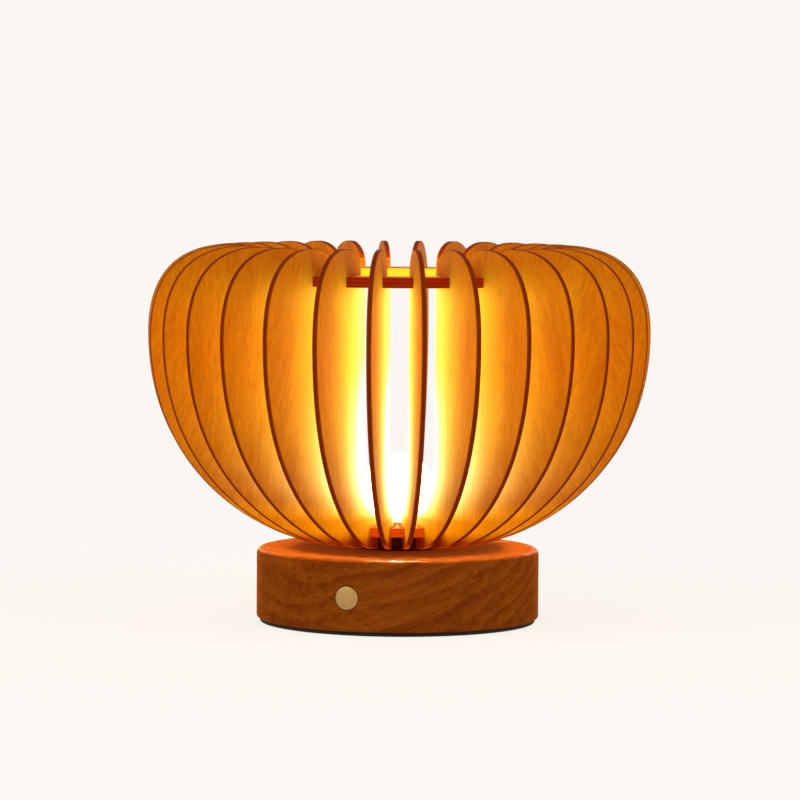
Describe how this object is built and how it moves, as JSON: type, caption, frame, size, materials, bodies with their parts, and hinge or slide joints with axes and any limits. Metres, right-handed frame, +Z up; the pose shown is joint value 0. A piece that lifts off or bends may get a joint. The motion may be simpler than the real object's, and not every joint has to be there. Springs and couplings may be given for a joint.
{
  "type": "table lamp",
  "caption": "Table lamp with a bowl-shaped shade of upright radial plywood fins round an opal light, on a round wooden base with a push button.",
  "frame": {"origin": "on the floor under the middle of the base", "axes": "+Z up the lamp's axis; -Y is the front, midway between two fins, with the button a little to its left; +X to the right seen from the front"},
  "size_m": [0.2514, 0.2502, 0.1886],
  "materials": {
    "plywood": "thin plywood with a clear matt varnish and darker laser-cut edges",
    "walnut": "oiled red-brown solid wood, satin",
    "lacquer": "turned wood with near-black satin lacquer",
    "felt": "matt black non-slip pad",
    "cover_plastic": "moulded, fine spark texture",
    "white_plastic": "moulded, satin",
    "opal": "translucent opal diffuser, lit warm white",
    "brass": "fine brushed, softly worn",
    "dark_plastic": "moulded, matt",
    "circuit": "green solder mask over glass-fibre board",
    "aluminium": "white-coated aluminium board",
    "cell_wrap": "shrink wrap, satin",
    "steel": "zinc-plated screws",
    "sheath": "matt cable sheath"
  },
  "bodies": {
    "lamp": {"base_body": "walnut", "pedestal": "lacquer", "foot_pad": "felt", "base_cover": "cover_plastic", "led_holder": "white_plastic", "led_board": "aluminium", "diffuser": "opal", "button_sleeve": "dark_plastic", "switch_body": "dark_plastic", "control_board": "circuit", "battery_cell": "cell_wrap", "battery_cradle": "dark_plastic", "charging_socket": "dark_plastic", "led_lead": "sheath", "battery_lead": "sheath", "socket_lead": "sheath", "lower_plate": "plywood", "top_ring": "plywood", "fin_01": "plywood", "fin_02": "plywood", "fin_03": "plywood", "fin_04": "plywood", "fin_05": "plywood", "fin_06": "plywood", "fin_07": "plywood", "fin_08": "plywood", "fin_09": "plywood", "fin_10": "plywood", "fin_11": "plywood", "fin_12": "plywood", "fin_13": "plywood", "fin_14": "plywood", "fin_15": "plywood", "fin_16": "plywood", "fin_17": "plywood", "fin_18": "plywood", "fin_19": "plywood", "fin_20": "plywood", "fin_21": "plywood", "fin_22": "plywood", "fin_23": "plywood", "fin_24": "plywood", "fin_25": "plywood", "fin_26": "plywood", "fin_27": "plywood", "fin_28": "plywood", "fin_29": "plywood", "fin_30": "plywood", "cover_screw_1": "steel", "cover_screw_2": "steel", "cover_screw_3": "steel", "pedestal_screw_1": "steel", "pedestal_screw_2": "steel", "pedestal_screw_3": "steel", "plate_screw_1": "steel", "plate_screw_2": "steel", "board_screw_1": "steel", "board_screw_2": "steel"},
    "button": {"button_cap": "brass", "switch_plunger": "white_plastic"}
  },
  "joints": [
    {"name": "button_press", "type": "slide", "parent": "lamp", "child": "button", "axis": [0.342, 0.9397, 0], "range_m": [0, 0.0015], "stiffness_N_per_m": 700, "springref_m": -0.0008}
  ]
}
